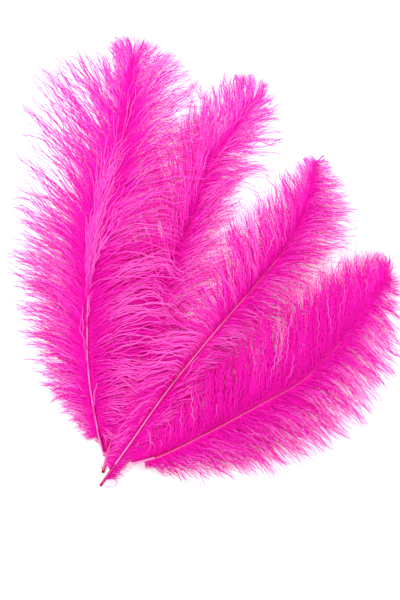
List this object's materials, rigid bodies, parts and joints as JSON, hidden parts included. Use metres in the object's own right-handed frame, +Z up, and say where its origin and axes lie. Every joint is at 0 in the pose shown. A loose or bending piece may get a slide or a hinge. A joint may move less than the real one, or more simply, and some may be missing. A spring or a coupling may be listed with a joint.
{
  "type": "ostrich plume bunch",
  "caption": "Fanned bunch of dyed ostrich plumes lying on one another, with hollow quills, tapering shafts, long soft vanes, tip tufts and down.",
  "frame": {"origin": "middle of the bunch's outline seen from above, on the table", "axes": "+Z up off the table, +Y towards the plumes' tips, +X to the right, so the quills gather near -X -Y"},
  "size_m": [0.3414, 0.3968, 0.0295],
  "materials": {
    "quill": "smooth dyed keratin, a little translucent, satin",
    "shaft": "dyed keratin, satin, paler on its ridge and darker at its sides",
    "barbs": "fine dyed barbs, soft and fluffy, matte with a sheen",
    "down": "loose dyed down, matte and translucent"
  },
  "bodies": {
    "under_plume": {"under_plume_quill": "quill", "under_plume_shaft": "shaft", "under_plume_west_down": "down", "under_plume_west_vane": "barbs", "under_plume_east_down": "down", "under_plume_east_vane": "barbs", "under_plume_tip_tuft": "barbs"},
    "left_plume": {"left_plume_quill": "quill", "left_plume_shaft": "shaft", "left_plume_west_down": "down", "left_plume_west_vane": "barbs", "left_plume_east_down": "down", "left_plume_east_vane": "barbs", "left_plume_tip_tuft": "barbs"},
    "middle_plume": {"middle_plume_quill": "quill", "middle_plume_shaft": "shaft", "middle_plume_west_down": "down", "middle_plume_west_vane": "barbs", "middle_plume_east_down": "down", "middle_plume_east_vane": "barbs", "middle_plume_tip_tuft": "barbs"},
    "right_plume": {"right_plume_quill": "quill", "right_plume_shaft": "shaft", "right_plume_west_down": "down", "right_plume_west_vane": "barbs", "right_plume_east_down": "down", "right_plume_east_vane": "barbs", "right_plume_tip_tuft": "barbs"}
  },
  "joints": [
    {"name": "left_plume_fan", "type": "hinge", "parent": "under_plume", "child": "left_plume", "pos_m": [-0.08836, -0.17159, 0.0045], "axis": [0, 0, 1], "range_deg": [0, 30]},
    {"name": "middle_plume_lift", "type": "slide", "parent": "under_plume", "child": "middle_plume", "axis": [0, 0, 1], "range_m": [0, 0.12]},
    {"name": "right_plume_fan", "type": "hinge", "parent": "middle_plume", "child": "right_plume", "pos_m": [-0.06736, -0.17759, 0.0125], "axis": [0, 0, 1], "range_deg": [-35, 0]}
  ]
}
